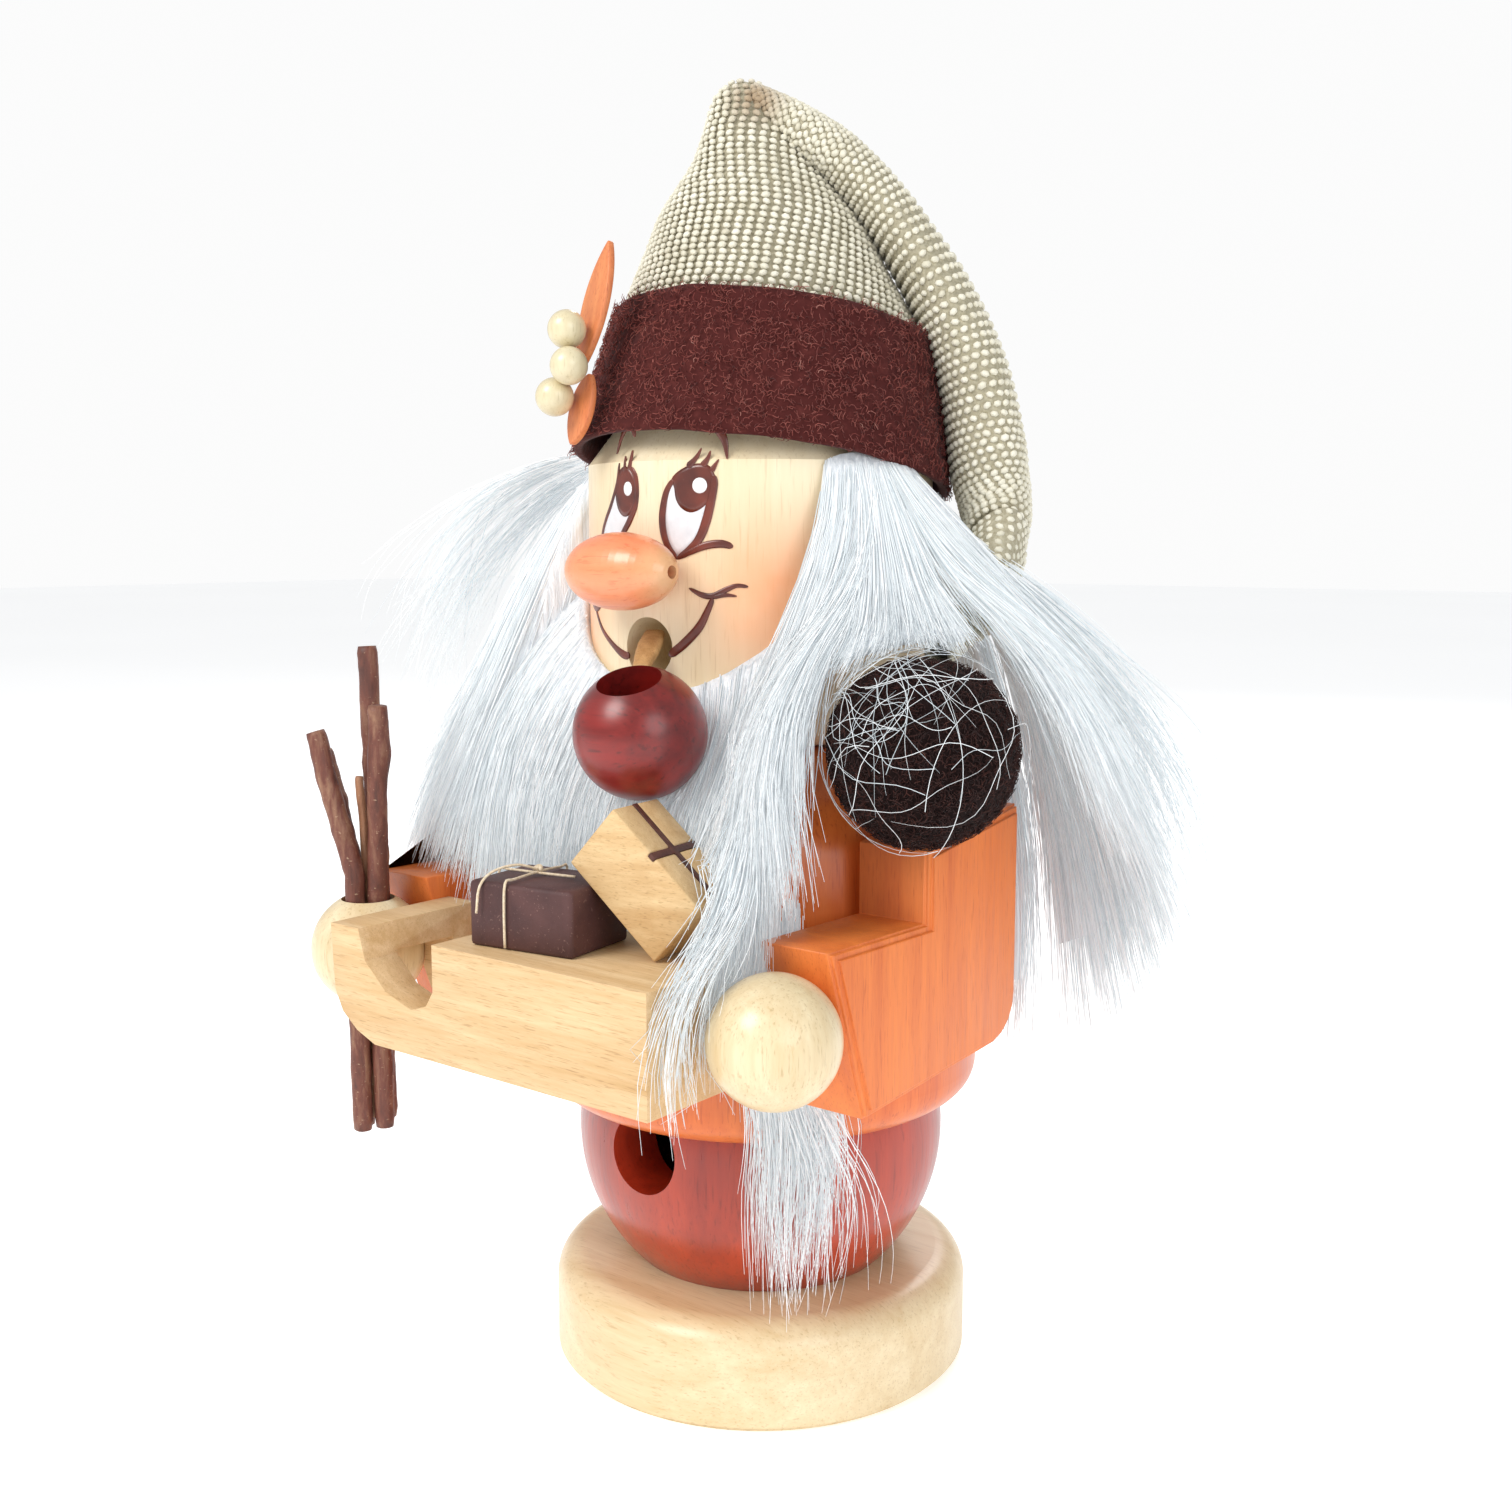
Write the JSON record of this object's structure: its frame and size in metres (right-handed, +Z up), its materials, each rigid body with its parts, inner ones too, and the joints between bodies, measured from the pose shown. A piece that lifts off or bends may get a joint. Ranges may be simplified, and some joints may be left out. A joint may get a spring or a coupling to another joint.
{
  "type": "gnome incense smoker figurine",
  "caption": "Turned and painted wooden gnome whose hollow jacket lifts off for an incense cone, with a cloth hat, fur beard, pipe, sledge with parcels and a bundle of twigs.",
  "frame": {"origin": "middle of the base's underside", "axes": "+Z up through the turned body, -Y the way the face looks, +X the figure's left"},
  "size_m": [0.087, 0.0751, 0.1495],
  "materials": {
    "pale_wood": "clear satin",
    "dowel_wood": "raw",
    "red_stained_wood": "stained satin",
    "tin": "plain",
    "orange_stained_wood": "stained satin",
    "face_wood": "clear satin with painted lines",
    "nose_paint": "satin paint",
    "dark_red_wood": "glossy stain",
    "stem_wood": "raw",
    "brown_fleece": "fleece",
    "hat_cloth": "coarse weave",
    "dark_fleece": "fleece",
    "leaf_orange": "stained",
    "white_fur": "long pile fur",
    "twig_bark": "bark",
    "sledge_wood": "raw",
    "brown_paint": "matt stain",
    "pale_thread": "twisted thread",
    "parcel_wood": "raw"
  },
  "bodies": {
    "root": {"base_disc": "pale_wood", "base_dowel": "dowel_wood", "lower_body": "red_stained_wood", "ember_plate": "tin"},
    "upper": {"jacket": "orange_stained_wood", "head": "face_wood", "nose": "nose_paint", "pipe_bowl": "dark_red_wood", "pipe_stem": "stem_wood", "hat_band": "brown_fleece", "hat": "hat_cloth", "leaf_upper": "leaf_orange", "leaf_lower": "leaf_orange", "berries": "pale_wood", "hair_right": "white_fur", "hair_left": "white_fur", "hair_back": "white_fur", "beard": "white_fur", "beard_lock": "white_fur", "arm_left": "orange_stained_wood", "arm_right": "orange_stained_wood", "arm_dowels": "dowel_wood", "hand_left": "pale_wood", "hand_right": "pale_wood", "hand_pegs": "dowel_wood", "twig_outer": "twig_bark", "twig_front": "twig_bark", "twig_tall": "twig_bark", "twig_inner": "twig_bark", "twig_thin": "twig_bark", "sledge": "sledge_wood", "parcel_dark": "brown_paint", "parcel_thread": "pale_thread", "parcel_light": "parcel_wood", "parcel_ribbon": "brown_paint"},
    "pompom": {"pompom": "dark_fleece"}
  },
  "joints": [
    {"name": "upper_lift", "type": "slide", "parent": "root", "child": "upper", "axis": [0, 0, 1], "range_m": [0, 0.03]},
    {"name": "pompom_swing", "type": "hinge", "parent": "upper", "child": "pompom", "pos_m": [0.0312, -0.0146, 0.0875], "axis": [-0.45, -0.893, 0], "range_deg": [0, 35]}
  ]
}
